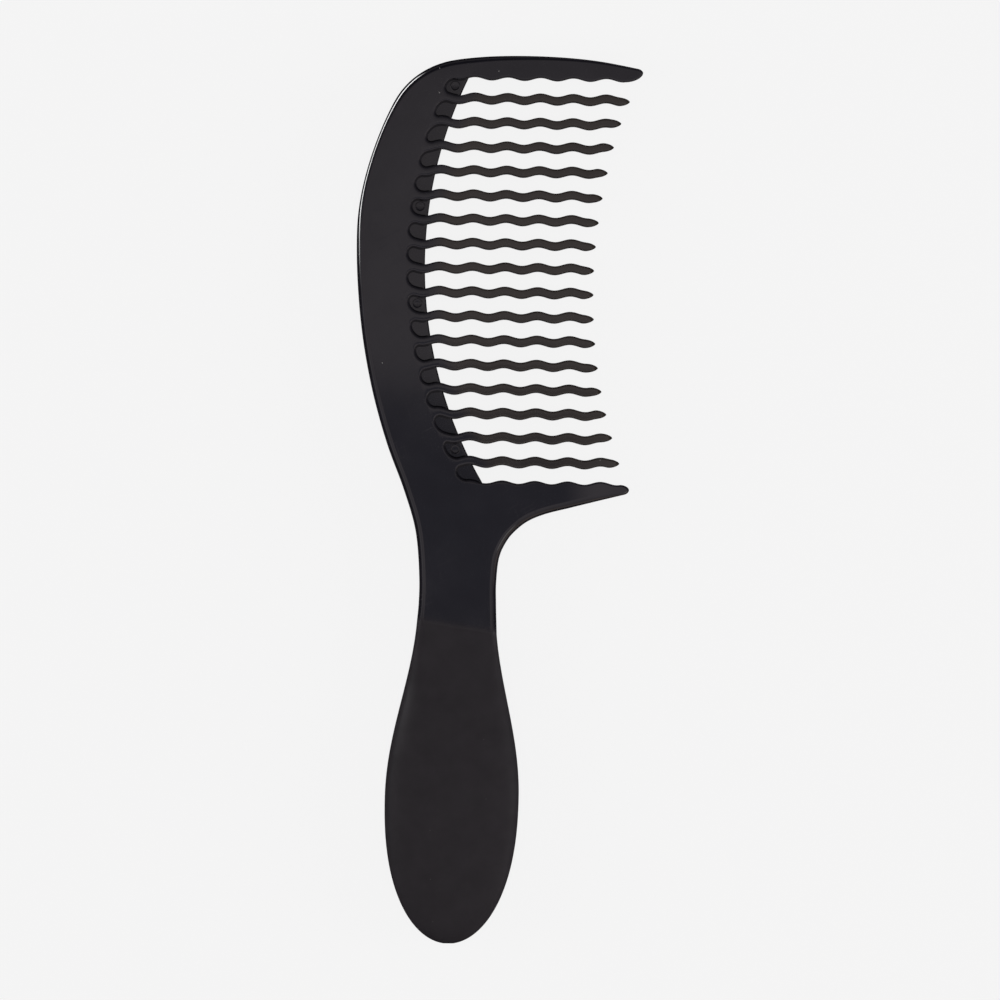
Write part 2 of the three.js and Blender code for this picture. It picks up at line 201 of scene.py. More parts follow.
NEAR_FLAG_Y = (0.005, 0.08)
NEAR_FLAG_LIGHT = 0.45
FAR_FLAG_Y = (0.05, 0.35)
FAR_FLAG_LIGHT = 0.1
FLAG_BOTTOM_Z = (0.45, 0.75)


def lerp(a, b, share):
    return a + (b - a) * share


def clamp01(value):
    return min(max(value, 0.0), 1.0)


def eased(start, end, value):
    along = clamp01((value - start) / (end - start))
    return (1 - math.cos(math.pi * along)) / 2


def wave(x):
    return WAVE_HEIGHT * math.cos(2 * math.pi * (x - WAVE_CREST_X) / WAVE_LENGTH)


def arc_x(centre, radius, y):
    return centre[0] - math.sqrt(radius ** 2 - (y - centre[1]) ** 2)


def tooth_y(index):
    return FIRST_TOOTH_Y - TOOTH_PITCH * index


def tooth_tip_x(index):
    return arc_x(TIP_CENTRE, TIP_RADIUS, tooth_y(index))


def rib_cut_x(y):
    """Where a rib on the web ends and its free tooth starts."""
    return arc_x(BED_CENTRE, WEB_RADIUS, y) + RIB_BEYOND_WEB


def tooth_half_width(from_tip):
    along = clamp01(from_tip / TOOTH_POINT_LENGTH)
    return TOOTH_HALF_WIDTH * (1 - (1 - along) ** 2) ** TOOTH_POINT_POWER


def tooth_line_y(index, x):
    """The middle line of a tooth: a wave that dies out before the tip."""
    fade_start = tooth_tip_x(index) - WAVE_FADE_FROM_TIP
    past = min(max(x - fade_start, 0.0), WAVE_FADE_LENGTH)
    wave_x = min(x, fade_start) + past - past ** 2 / (2 * WAVE_FADE_LENGTH)
    return tooth_y(index) + wave(wave_x)


def thickness_share(x, start_x):
    """Thickness of a tooth or guard, whose faces start level at start_x and slope ever more."""
    along = clamp01((x - start_x) / (THINNEST_X - start_x))
    return 1 - (1 - TIP_THICKNESS_SHARE) * along ** 2


def back_softness(y):
    """How soft the back edge is: its rounding is smallest on the shoulder below the head."""
    if y < SHOULDER_Y:
        return lerp(1.0, SHOULDER_SOFTNESS, eased(*BACK_TO_SHOULDER, y))
    return lerp(SHOULDER_SOFTNESS, HEAD_SOFTNESS, eased(*SHOULDER_TO_HEAD, y))


def grip_centre_x(y):
    return GRIP_END_X + GRIP_LEAN * (y - GRIP_END_Y)


def grip_half_width(y):
    if y > GRIP_WIDEST_Y:
        return lerp(NECK_HALF_WIDTH, GRIP_HALF_WIDTH, eased(NECK_Y, GRIP_WIDEST_Y, y))
    along = (GRIP_WIDEST_Y - y) / (GRIP_WIDEST_Y - GRIP_END_Y)
    return GRIP_HALF_WIDTH * math.sqrt(max(1 - along ** GRIP_END_PLAN_POWER, 0.0))


# Curves


def resampled(points, spacing):
    points = np.asarray(points, float)
    steps = np.hypot(*np.diff(points, axis=0).T)
    run = np.concatenate([[0.0], np.cumsum(steps)])
    wanted = np.linspace(0, run[-1], max(int(round(run[-1] / spacing)), 1) + 1)
    return np.stack([np.interp(wanted, run, points[:, i]) for i in range(2)], axis=1)


def smooth_curve(points):
    """A centripetal Catmull-Rom curve through points, sampled evenly."""
    samples_per_span = 40
    points = np.asarray(points, float)
    ends = (2 * points[0] - points[1], 2 * points[-1] - points[-2])
    points = np.vstack([ends[0], points, ends[1]])
    curve = []
    for a, b, c, d in zip(points, points[1:], points[2:], points[3:]):
        t1 = math.sqrt(np.hypot(*(b - a)))
        t2 = t1 + math.sqrt(np.hypot(*(c - b)))
        t3 = t2 + math.sqrt(np.hypot(*(d - c)))
        for t in np.linspace(t1, t2, samples_per_span, endpoint=False):
            ab = lerp(a, b, t / t1)
            bc = lerp(b, c, (t - t1) / (t2 - t1))
            cd = lerp(c, d, (t - t2) / (t3 - t2))
            abc = lerp(ab, bc, t / t2)
            bcd = lerp(bc, cd, (t - t1) / (t3 - t1))
            curve.append(lerp(abc, bcd, (t - t1) / (t2 - t1)))
    curve.append(points[-2])
    return resampled(curve, CURVE_SPACING)


def fillet(start, corner, end, steps=10):
    """A round corner between two edges that meet at corner, as one cubic curve."""
    handle_share = 0.552
    start, corner, end = (np.asarray(p, float) for p in (start, corner, end))
    first = lerp(start, corner, handle_share)
    second = lerp(end, corner, handle_share)
    curve = []
    for t in np.linspace(0, 1, steps + 1):
        a, b, c = lerp(start, first, t), lerp(first, second, t), lerp(second, end, t)
        curve.append(lerp(lerp(a, b, t), lerp(b, c, t), t))
    return curve


def split_at_x(curve, x):
    """The curve's parts before and after it crosses x, both with the crossing point."""
    for i, (p, q) in enumerate(zip(curve, curve[1:])):
        if (p[0] - x) * (q[0] - x) <= 0 and p[0] != q[0]:
            crossing = lerp(p, q, (x - p[0]) / (q[0] - p[0]))
            return np.vstack([curve[:i + 1], crossing]), np.vstack([crossing, curve[i + 1:]])
    raise ValueError("the curve never reaches that x")


def side_points(side, from_x, to_x):
    count = max(int(abs(to_x - from_x) / SIDE_SPACING), 1)
    return [(x, side(x)) for x in np.linspace(from_x, to_x, count + 1)]


# Meshes


def area_normals(vertices, faces, hidden):
    """Vertex normals in which big faces count most, so that flat faces stay flat."""
    normals = np.zeros_like(vertices)
    for number, face in enumerate(faces):
        if number in hidden:
            continue
        corners = vertices[list(face)]
        edges = corners[1:] - corners[0]
        normal = np.cross(edges[:-1], edges[1:]).sum(axis=0)
        normals[list(face)] += normal
    lengths = np.linalg.norm(normals, axis=1, keepdims=True)
    lengths[lengths == 0] = 1
    return normals / lengths


def make_piece(name, vertices, faces, edge_share, node, material, hidden=()):
    """A mesh object from points in plan millimetres; hidden faces don't bend the shading."""
    vertices = (np.asarray(vertices, float) + PLAN_SHIFT) * MM
    mesh = bpy.data.meshes.new(name)
    mesh.from_pydata(vertices.tolist(), [], [list(face) for face in faces])
    mesh.validate()
    mesh.shade_smooth()
    mesh.normals_split_custom_set_from_vertices(
        area_normals(vertices, faces, set(hidden)).tolist()
    )
    attribute = mesh.attributes.new("edge", "FLOAT", "POINT")
    attribute.data.foreach_set("value", np.asarray(edge_share, np.float32))
    mesh.materials.append(material)
    piece = bpy.data.objects.new(name, mesh)
    bpy.context.scene.collection.objects.link(piece)
    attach(piece, "root")
    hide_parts(node)
    return piece


def inward_directions(points, cut):
    """For each point, the way that its rounding moves in: square to the edge, or along a cut."""
    count = len(points)
    following = np.roll(points, -1, axis=0) - points
    following /= np.linalg.norm(following, axis=1, keepdims=True)
    inward = np.stack([-following[:, 1], following[:, 0]], axis=1)
    directions = np.zeros_like(points)
    for i in range(count):
        before = i - 1
        if cut[i]:
            directions[i] = following[i] / np.dot(following[i], inward[before])
        elif cut[before]:
            directions[i] = -following[before] / np.dot(-following[before], inward[i])
        else:
            both = inward[before] + inward[i]
            directions[i] = both / (1 + np.dot(inward[before], inward[i]))
    return directions


def wall_levels(half_height, soft, foot=0.0, rim=0.0):
    """The upper half of an edge's section, as (inset, height, how much it is an edge). foot and
    rim are the shares, from 0 to 1, of the spread at the wall's foot and of the rim's dip."""
    round_width = lerp(CRISP_ROUND[0], SOFT_ROUND[0], soft)
    round_height = lerp(CRISP_ROUND[1], SOFT_ROUND[1], soft)
    top_of_wall = half_height - round_height - rim * POCKET_RIM_DROP
    levels = [(0.0, 0.0, 0.0)]
    for step in range(WALL_STEPS):
        height = lerp(PARTING_HALF_HEIGHT, top_of_wall, step / WALL_STEPS)
        lean = WALL_LEAN * height / top_of_wall
        above_web = clamp01((height - WEB_HALF_THICKNESS) / (top_of_wall - WEB_HALF_THICKNESS))
        spread = foot * POCKET_SPREAD * (1 - above_web) ** POCKET_SPREAD_POWER
        levels.append((PARTING_RIDGE + lean - spread, height, 0.0))
    for step in range(ROUND_STEPS + 1):
        turn = math.pi / 2 * step / ROUND_STEPS
        inset = PARTING_RIDGE + WALL_LEAN + round_width * (1 - math.cos(turn))
        levels.append((inset, top_of_wall + round_height * math.sin(turn), math.sin(2 * turn)))
    levels.append((inset + lerp(PLAIN_RIM_WIDTH, POCKET_RIM_WIDTH, rim), half_height, 0.0))
    return levels


def web_levels():
    """The same for the web, whose edge leans from its middle to a small rounding."""
    levels = [(0.0, 0.0, 0.0)]
    for step in range(WEB_ROUND_STEPS + 1):
        turn = math.pi / 2 * step / WEB_ROUND_STEPS
        inset = WEB_LEAN + WEB_ROUND * (1 - math.cos(turn))
        levels.append((inset, WEB_HALF_THICKNESS - WEB_ROUND * (1 - math.sin(turn)), 0.0))
    return levels


def flat_cap(ring, inner_points):
    """Triangles that fill a ring of plan points, using inner_points too."""
    only_inside = 1
    same_point_distance = 1e-7
    outline = [Vector(p) for p in ring]
    inner = [Vector(p) for p in inner_points]
    loop = list(range(len(outline)))
    found = delaunay_2d_cdt(outline + inner, [], [loop], only_inside, same_point_distance)
    places, triangles, origins = found[0], found[2], found[3]
    if len(places) != len(outline) + len(inner):
        raise ValueError("the cap's outline crosses itself")
    source = [origin[0] for origin in origins]
    return [tuple(source[i] for i in triangle) for triangle in triangles]


def make_plate(name, node, material, points, cut, levels, share=None, inner=()):
    """A flat piece with shaped edges. points run anticlockwise, cut[i] marks the edge after
    point i as a joint, and levels[i] is the section at point i. share(x, y) scales the
    thickness, and inner holds more points for the faces, as (x, y, rise of the top face)."""
    points = np.asarray(points, float)
    directions = inward_directions(points, cut)
    count = len(points)
    level_count = len(levels[0])
    rows = [(level, -1) for level in range(level_count - 1, 0, -1)]
    rows += [(level, 1) for level in range(level_count)]
    vertices = []
    edge_share = []
    for level, side in rows:
        for point, direction, section in zip(points, directions, levels):
            inset, height, edge = section[level]
            vertices.append((*(point + direction * inset), side * height))
            edge_share.append(edge)
    faces = []
    joint_faces = []
    for row in range(len(rows) - 1):
        for i in range(count):
            low = row * count
            after = (i + 1) % count
            if cut[i]:
                joint_faces.append(len(faces))
            faces.append((low + i, low + after, low + count + after, low + count + i))
    top_start = (len(rows) - 1) * count
    top_height = vertices[top_start][2]
    ring = [vertex[:2] for vertex in vertices[top_start:]]
    cap = flat_cap(ring, [(x, y) for x, y, _ in inner])
    inner_top = len(vertices)
    inner_bottom = inner_top + len(inner)
    vertices += [(x, y, top_height + rise) for x, y, rise in inner]
    vertices += [(x, y, -top_height) for x, y, _ in inner]
    edge_share += [0.0] * (2 * len(inner))
    for triangle in cap:
        faces.append(tuple(i + (top_start if i < count else inner_top - count) for i in triangle))
        below = tuple(i + (0 if i < count else inner_bottom - count) for i in triangle)
        faces.append(below[::-1])
    if share:
        vertices = [(x, y, z * share(x, y)) for x, y, z in vertices]
    return make_piece(name, vertices, faces, edge_share, node, material, joint_faces)


def make_sweep(name, node, material, rings, edge_share, tip):
    """A closed skin over rings of points, with a flat joint face at the first ring and all
    the faces of the last ring drawn together at the point tip."""
    ring_size = len(rings[0])
    vertices = [p for ring in rings for p in ring] + [tip]
    edges = [e for ring in edge_share for e in ring] + [1.0]
    faces = []
    for row in range(len(rings) - 1):
        for i in range(ring_size):
            after = (i + 1) % ring_size
            low = row * ring_size
            faces.append((low + i, low + ring_size + i, low + ring_size + after, low + after))
    last = (len(rings) - 1) * ring_size
    tip_number = len(vertices) - 1
    for i in range(ring_size):
        faces.append((last + i, tip_number, last + (i + 1) % ring_size))
    hidden = [len(faces)]
    faces.append(tuple(range(ring_size)))
    return make_piece(name, vertices, faces, edges, node, material, hidden)


# Materials. Grain is the height of the finest texture, in metres, and marks is how much of the
# dust and the scratches shows.

Finish = namedtuple("Finish", "colour roughness reflection grain marks")

GLOSS = Finish(
    colour=(0.0056, 0.0053, 0.0080, 1), roughness=0.055, reflection=0.5, grain=3e-7, marks=1.0,
)
BRUSHED = Finish(
    colour=(0.0182, 0.0146, 0.0118, 1), roughness=0.07, reflection=0.5, grain=4e-7, marks=0.6,
)
SATIN = Finish(
    colour=(0.0238, 0.0218, 0.0243, 1), roughness=0.42, reflection=0.06, grain=2e-6, marks=0.1,
)
REFRACTIVE_INDEX = 1.5

# The share of the way to the second finish at which the roughness starts and ends its change

ROUGHNESS_FADE = (0.6, 1.0)

# Textures. Scales are in features per metre, and heights and lengths in metres.

GRAIN_SCALE = 5200.0
WAVINESS_SCALE = 55.0
WAVINESS = 4e-6
NOISE_ROUGHNESS = 0.55

MOTTLE_SCALE = 180.0
MOTTLE_RANGE = (0.3, 0.7)
MOTTLE_SHADE = (0.93, 1.08)

SMEAR_SCALE = 70.0
SMEAR_RANGE = (0.2, 0.8)
SMEAR_ROUGHNESS = (0.7, 1.4)
SMEAR_REFLECTION = (0.86, 1.14)

WORN_RANGE = (0.42, 0.6)
WORN_SHADE = 0.35
WORN_ROUGHNESS = 0.05

SCRATCH_ANGLES = (0.35, -1.1)
SCRATCH_WIDTH = 0.0002
SCRATCH_LENGTH = 0.012
SCRATCH_RANGE = (0.7, 0.76)
SCRATCH_PATCH_SCALE = 60.0
SCRATCH_PATCH_RANGE = (0.5, 0.6)
SCRATCH_DEPTH = 2.5e-6
SCRATCH_SHADE = 0.8
SCRATCH_ROUGHNESS = 0.2

DUST_SCALE = 75.0
DUST_RADIUS_IN_CELLS = (0.007, 0.011)
DUST_FREE_CELLS = 0.8
DUST_COLOUR = (0.24, 0.235, 0.23, 1)
DUST_ROUGHNESS = 0.5


def new_material(name):
    material = bpy.data.materials.new(name)
    material.use_nodes = True
    tree = material.node_tree
    return material, tree, tree.nodes["Principled BSDF"]


def add_node(tree, kind, inputs, **settings):
    """A new node whose inputs are each set to a value or linked to another node's output."""
    node = tree.nodes.new(kind)
    for name, value in settings.items():
        setattr(node, name, value)
    for key, value in inputs.items():
        if isinstance(value, bpy.types.NodeSocket):
            tree.links.new(value, node.inputs[key])
        else:
            node.inputs[key].default_value = value
    return node


def combine(tree, operation, a, b):
    return add_node(tree, "ShaderNodeMath", {0: a, 1: b}, operation=operation).outputs[0]


def remap(tree, value, from_low, from_high, to_low, to_high, easing="LINEAR"):
    inputs = {
        "Value": value,
        "From Min": from_low,
        "From Max": from_high,
        "To Min": to_low,
        "To Max": to_high,
    }
    node = add_node(tree, "ShaderNodeMapRange", inputs, interpolation_type=easing)
    return node.outputs["Result"]


def mix_colour(tree, share, a, b):
    """A colour between a and b. A mix node's colours are its inputs 6 and 7, and its output 2."""
    node = add_node(tree, "ShaderNodeMix", {0: share, 6: a, 7: b}, data_type="RGBA")
    return node.outputs[2]


def noise(tree, place, scale, detail):
    inputs = {"Vector": place, "Scale": scale, "Detail": detail, "Roughness": NOISE_ROUGHNESS}
    return add_node(tree, "ShaderNodeTexNoise", inputs).outputs["Fac"]


def hairlines(tree, place, angle):
    """Patches of thin straight scratches along one direction: 1 on a scratch, 0 elsewhere."""
    size = (SCRATCH_WIDTH, SCRATCH_LENGTH, 1.0)
    inputs = {"Vector": place, "Rotation": (0, 0, angle), "Scale": size}
    along = add_node(tree, "ShaderNodeMapping", inputs, vector_type="TEXTURE").outputs["Vector"]
    lines = noise(tree, along, scale=1.0, detail=1.0)
    line = remap(tree, lines, *SCRATCH_RANGE, 0.0, 1.0)
    patches = noise(tree, place, SCRATCH_PATCH_SCALE, detail=1.0)
    patch = remap(tree, patches, *SCRATCH_PATCH_RANGE, 0.0, 1.0)
    return combine(tree, "MULTIPLY", line, patch)


def dust(tree, place):
    """Sparse specks about a quarter of a millimetre across: 1 on a speck."""
    inputs = {"Vector": place, "Scale": DUST_SCALE}
    cells = add_node(tree, "ShaderNodeTexVoronoi", inputs, voronoi_dimensions="2D")
    speck = remap(tree, cells.outputs["Distance"], *DUST_RADIUS_IN_CELLS, 1.0, 0.0)
    colour = add_node(tree, "ShaderNodeSeparateColor", {"Color": cells.outputs["Color"]})
    chosen = combine(tree, "GREATER_THAN", colour.outputs["Red"], DUST_FREE_CELLS)
    return combine(tree, "MULTIPLY", speck, chosen)


def below_joint(tree, place):
    """0 on the neck, and 1 past the slanting joint with the grip."""
    down = Vector((GRIP_JOINT_SLOPE, -1.0, 0.0)).normalized()
    joint = Vector((grip_centre_x(GRIP_JOINT_Y), GRIP_JOINT_Y, 0.0)) + Vector(PLAN_SHIFT)
    start = down.dot(joint)
    inputs = {0: place, 1: down}
    distance = add_node(tree, "ShaderNodeVectorMath", inputs, operation="DOT_PRODUCT")
    return remap(
        tree, distance.outputs["Value"],
        (start - JOINT_FADE) * MM, start * MM, 0.0, 1.0, "SMOOTHSTEP",
    )


def past_web(tree, place):
    """0 where a tooth leaves the web, and 1 from a few millimetres further out."""
    centre = (Vector((*BED_CENTRE, 0.0)) + Vector(PLAN_SHIFT)) * MM
    inputs = {0: place, 1: centre}
    distance = add_node(tree, "ShaderNodeVectorMath", inputs, operation="DISTANCE")
    start = WEB_RADIUS - RIB_BEYOND_WEB
    return remap(
        tree, distance.outputs["Value"],
        start * MM, (start - TOOTH_FADE) * MM, 0.0, 1.0, "SMOOTHSTEP",
    )


def added_up(tree, value, marks_and_amounts):
    """value, and so much more for each mark where it shows."""
    for mark, amount in marks_and_amounts:
        value = combine(tree, "ADD", value, combine(tree, "MULTIPLY", mark, amount))
    return value


def moulded_plastic(name, first, second, make_share):
    """Black moulded plastic that goes from its first finish to its second. Where they are one
    finish, its reflection is a plain number, because the export drops one made by nodes."""
    material, tree, shader = new_material(name)
    place = add_node(tree, "ShaderNodeTexCoord", {}).outputs["Object"]
    edge_share = add_node(tree, "ShaderNodeAttribute", {}, attribute_name="edge").outputs["Fac"]
    share = make_share(tree, place)

    mottle = noise(tree, place, MOTTLE_SCALE, detail=3.0)
    smears = noise(tree, place, SMEAR_SCALE, detail=2.0)
    marks = remap(tree, share, 0.0, 1.0, first.marks, second.marks)
    lines = [hairlines(tree, place, angle) for angle in SCRATCH_ANGLES]
    scratch = combine(tree, "MULTIPLY", combine(tree, "MAXIMUM", *lines), marks)
    speck = combine(tree, "MULTIPLY", dust(tree, place), marks)
    worn_patch = remap(tree, mottle, *WORN_RANGE, 0.0, 1.0)
    worn = combine(tree, "MULTIPLY", edge_share, worn_patch)

    plain = mix_colour(tree, share, first.colour, second.colour)
    shade = remap(tree, mottle, *MOTTLE_RANGE, *MOTTLE_SHADE)
    shade = added_up(tree, shade, ((worn, WORN_SHADE), (scratch, SCRATCH_SHADE)))
    inputs = {0: plain, "Scale": shade}
    marked = add_node(tree, "ShaderNodeVectorMath", inputs, operation="SCALE").outputs["Vector"]
    tree.links.new(mix_colour(tree, speck, marked, DUST_COLOUR), shader.inputs["Base Color"])

    rough = remap(tree, share, *ROUGHNESS_FADE, first.roughness, second.roughness)
    smeared = remap(tree, smears, *SMEAR_RANGE, *SMEAR_ROUGHNESS)
    rough = combine(tree, "MULTIPLY", rough, smeared)
    rough = added_up(tree, rough, (
        (scratch, SCRATCH_ROUGHNESS), (worn, WORN_ROUGHNESS), (speck, DUST_ROUGHNESS),
    ))
    tree.links.new(rough, shader.inputs["Roughness"])

    shader.inputs["IOR"].default_value = REFRACTIVE_INDEX
    if first is second:
        shader.inputs["Specular IOR Level"].default_value = first.reflection
    else:
        reflection = remap(tree, share, 0.0, 1.0, first.reflection, second.reflection)
        smeared = remap(tree, smears, *SMEAR_RANGE, *SMEAR_REFLECTION)
        reflection = combine(tree, "MULTIPLY", reflection, smeared)
        tree.links.new(reflection, shader.inputs["Specular IOR Level"])

    grain = remap(tree, share, 0.0, 1.0, first.grain, second.grain)
    fine = noise(tree, place, GRAIN_SCALE, detail=2.0)
    slow = noise(tree, place, WAVINESS_SCALE, detail=0.0)
    height = combine(tree, "MULTIPLY", fine, grain)
    height = combine(tree, "ADD", height, combine(tree, "MULTIPLY", slow, WAVINESS))
    depth = combine(tree, "MULTIPLY", scratch, SCRATCH_DEPTH)
    height = combine(tree, "SUBTRACT", height, depth)
    inputs = {"Height": height, "Strength": 1.0, "Distance": 1.0}
    bump = add_node(tree, "ShaderNodeBump", inputs)
    tree.links.new(bump.outputs["Normal"], shader.inputs["Normal"])
    return material


# Placing the plan in the frame

SPINE_LOW, SPINE_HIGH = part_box("spine")
HALF_THICKNESS = (SPINE_HIGH[2] - SPINE_LOW[2]) / MM / 2


def neck_corner(side):
    """Where the slanting joint meets the comb's outline, on the side -1 or 1."""
    y = GRIP_JOINT_Y + GRIP_JOINT_SLOPE * side * grip_half_width(GRIP_JOINT_Y)
    return (grip_centre_x(y) + side * grip_half_width(y), y)


BACK_CURVE = smooth_curve([neck_corner(-1), *BACK_EDGE, *HEAD_EDGE])
HEEL_CURVE = smooth_curve([*HEEL_EDGE, neck_corner(1)])[::-1]
PLAN_SHIFT = np.array([
    SPINE_LOW[0] / MM - BACK_CURVE[:, 0].min(),
    SPINE_LOW[1] / MM - TANG_END_Y,
    (SPINE_LOW[2] + SPINE_HIGH[2]) / 2 / MM,
])


# Spine, with the ribs that run out over the web


def head_inner(x):
    return HEAD_INNER_Y + wave(x)


def heel_inner(x):
    return HEEL_INNER_Y + wave(x)


def tooth_side(index, sign):
    return lambda x: tooth_line_y(index, x) + sign * TOOTH_HALF_WIDTH


def wall_corner(side):
    """Where a tooth's side meets the bed arc, found by going back and forth between them."""
    first_guess_x = -18.0
    y = side(first_guess_x)
    for _ in range(6):
        x = arc_x(BED_CENTRE, BED_RADIUS, y)
        y = side(x)
    return x, y


def pocket_outline(low, low_cut_x, high, high_cut_x):
    """From the lower rib's cut, in along its side, round the pocket's end, and out again."""
    just_under_half = 0.49
    low_x, low_y = wall_corner(low)
    high_x, high_y = wall_corner(high)
    radius = min(ROOT_FILLET, just_under_half * (high_y - low_y))
    low_start = (low_x + radius, low(low_x + radius))
    low_end = (arc_x(BED_CENTRE, BED_RADIUS, low_y + radius), low_y + radius)
    high_start = (arc_x(BED_CENTRE, BED_RADIUS, high_y - radius), high_y - radius)
    high_end = (high_x + radius, high(high_x + radius))
    return [
        *side_points(low, low_cut_x, low_start[0])[:-1],
        *fillet(low_start, (low_x, low_y), low_end),
        *fillet(high_start, (high_x, high_y), high_end),
        *side_points(high, high_end[0], high_cut_x)[1:],
    ]


def spine_outline():
    """The spine's points, which of their edges are joints, and how soft each point is."""
    head_cut_x = rib_cut_x(HEAD_INNER_Y)
    lower_edge, _ = split_at_x(HEEL_CURVE, HEEL_CUT_X)
    back_and_head, _ = split_at_x(BACK_CURVE, head_cut_x)
    points = [tuple(p) for p in lower_edge]
    soft = [1.0] * len(points)
    cut = [False] * len(points)
    cut[-1] = True
    for pocket in range(TOOTH_COUNT, -1, -1):
        low = heel_inner if pocket == TOOTH_COUNT else tooth_side(pocket, 1)
        high = head_inner if pocket == 0 else tooth_side(pocket - 1, -1)
        low_cut_x = HEEL_CUT_X if pocket == TOOTH_COUNT else rib_cut_x(tooth_y(pocket))
        high_cut_x = head_cut_x if pocket == 0 else rib_cut_x(tooth_y(pocket - 1))
        outline = pocket_outline(low, low_cut_x, high, high_cut_x)
        points += outline
        soft += [0.0] * len(outline)
        cut += [False] * (len(outline) - 1) + [True]
    upper_edge = [tuple(p) for p in back_and_head[::-1]]
    points += upper_edge
    soft += [back_softness(y) for _, y in upper_edge]
    cut += [False] * (len(upper_edge) - 1) + [True]
    return points, cut, soft


def foot_share(x, y):
    """1 where a wall stands on the web, falling to 0 just before the web's front edge."""
    margin = 0.2
    fade_length = 0.6
    radius = math.hypot(x - BED_CENTRE[0], y - BED_CENTRE[1])
    return clamp01((radius - WEB_RADIUS - margin) / fade_length)


def make_spine(material):
    points, cut, soft = spine_outline()
    levels = []
    for point, softness in zip(points, soft):
        if softness:
            levels.append(wall_levels(HALF_THICKNESS, softness))
        else:
            levels.append(wall_levels(HALF_THICKNESS, 0.0, foot=foot_share(*point), rim=1.0))
    return make_plate("spine_body", "spine", material, points, cut, levels)


# Guards


def make_head_guard(material):
    cut_x = rib_cut_x(HEAD_INNER_Y)
    _, outer = split_at_x(BACK_CURVE, cut_x)
    outer = split_at_x(outer, HEAD_OUTER_END_X)[0]
    inner = side_points(head_inner, cut_x, HEAD_INNER_END_X)
    nose = [
        *fillet(inner[-1], HEAD_NOSE_CORNER, HEAD_NOSE_TIP, steps=14)[1:],
        *fillet(HEAD_NOSE_TIP, HEAD_NOSE_OUTER_CORNER, outer[-1], steps=8)[1:-1],
    ]
    outer_points = [tuple(p) for p in outer[::-1]]
    points = [*inner, *nose, *outer_points]
    nose_soft = [HEAD_TIP_SOFTNESS * (i + 1) / len(nose) for i in range(len(nose))]
    outer_soft = []
    for x, _ in outer_points:
        from_tip = (HEAD_OUTER_END_X - x) / (HEAD_OUTER_END_X - cut_x)
        outer_soft.append(lerp(HEAD_TIP_SOFTNESS, HEAD_SOFTNESS, clamp01(from_tip)))
    soft = [0.0] * len(inner) + nose_soft + outer_soft
    cut = [False] * (len(points) - 1) + [True]
    levels = [wall_levels(HALF_THICKNESS, s) for s in soft]
    return make_plate(
        "head_guard_body", "head_guard", material, points, cut, levels,
        share=lambda x, y: thickness_share(x, cut_x),
    )


def make_heel_guard(material):
    _, outer = split_at_x(HEEL_CURVE, HEEL_CUT_X)
    outer = split_at_x(outer, HEEL_OUTER_END_X)[0]
    inner = side_points(heel_inner, HEEL_INNER_END_X, HEEL_CUT_X)
    nose = [
        *fillet(outer[-1], HEEL_NOSE_OUTER_CORNER, HEEL_NOSE_TIP, steps=8)[1:],
        *fillet(HEEL_NOSE_TIP, HEEL_NOSE_CORNER, inner[0], steps=10)[1:-1],
    ]
    outer_points = [tuple(p) for p in outer]
    points = [*outer_points, *nose, *inner]
    outer_soft = []
    for x, _ in outer_points:
        from_tip = (HEEL_OUTER_END_X - x) / HEEL_SOFTENING_LENGTH
        outer_soft.append(lerp(HEEL_TIP_SOFTNESS, 1.0, clamp01(from_tip)))
    nose_soft = [HEEL_TIP_SOFTNESS * (1 - (i + 1) / len(nose)) for i in range(len(nose))]
    soft = outer_soft + nose_soft + [0.0] * len(inner)
    cut = [False] * (len(points) - 1) + [True]
    levels = [wall_levels(HALF_THICKNESS, s) for s in soft]
    return make_plate(
        "heel_guard_body", "heel_guard", material, points, cut, levels,
        share=lambda x, y: thickness_share(x, HEEL_CUT_X),
    )


# Web


def web_outline():
    """The band between the web's front arc and its hidden back arc."""
    upwards = np.linspace(WEB_BOTTOM_Y, WEB_TOP_Y, WEB_ARC_POINTS)
    downwards = np.linspace(WEB_TOP_Y, WEB_BOTTOM_Y, WEB_ARC_POINTS)
    front = [(arc_x(BED_CENTRE, WEB_RADIUS, y), y) for y in upwards]
    back = [(arc_x(BED_CENTRE, WEB_BACK_RADIUS, y), y) for y in downwards]
    return front + back


def mark_centres():
    """The middles of the marked pockets."""
    middle_radius = (WEB_RADIUS + BED_RADIUS) / 2
    for pocket in MARKED_POCKETS:
        y = FIRST_TOOTH_Y + TOOTH_PITCH * (0.5 - pocket)
        yield arc_x(BED_CENTRE, middle_radius, y), y


def mark_points():
    """Points on every mark, as (x, y, rise of the web's face)."""
    points = []
    for centre_x, centre_y in mark_centres():
        points.append((centre_x, centre_y, MARK_PROFILE[0][1]))
        for radius, rise in MARK_PROFILE[1:]:
            for turn in np.linspace(0, 2 * math.pi, MARK_SIDES, endpoint=False):
                x = centre_x + radius * math.cos(turn)
                y = centre_y + radius * math.sin(turn)
                points.append((x, y, rise))
    return points


def make_web(material):
    points = web_outline()
    count = len(points)
    return make_plate(
        "web_body", "web_plate", material, points, [False] * count, [web_levels()] * count,
        inner=mark_points(),
    )


# Teeth


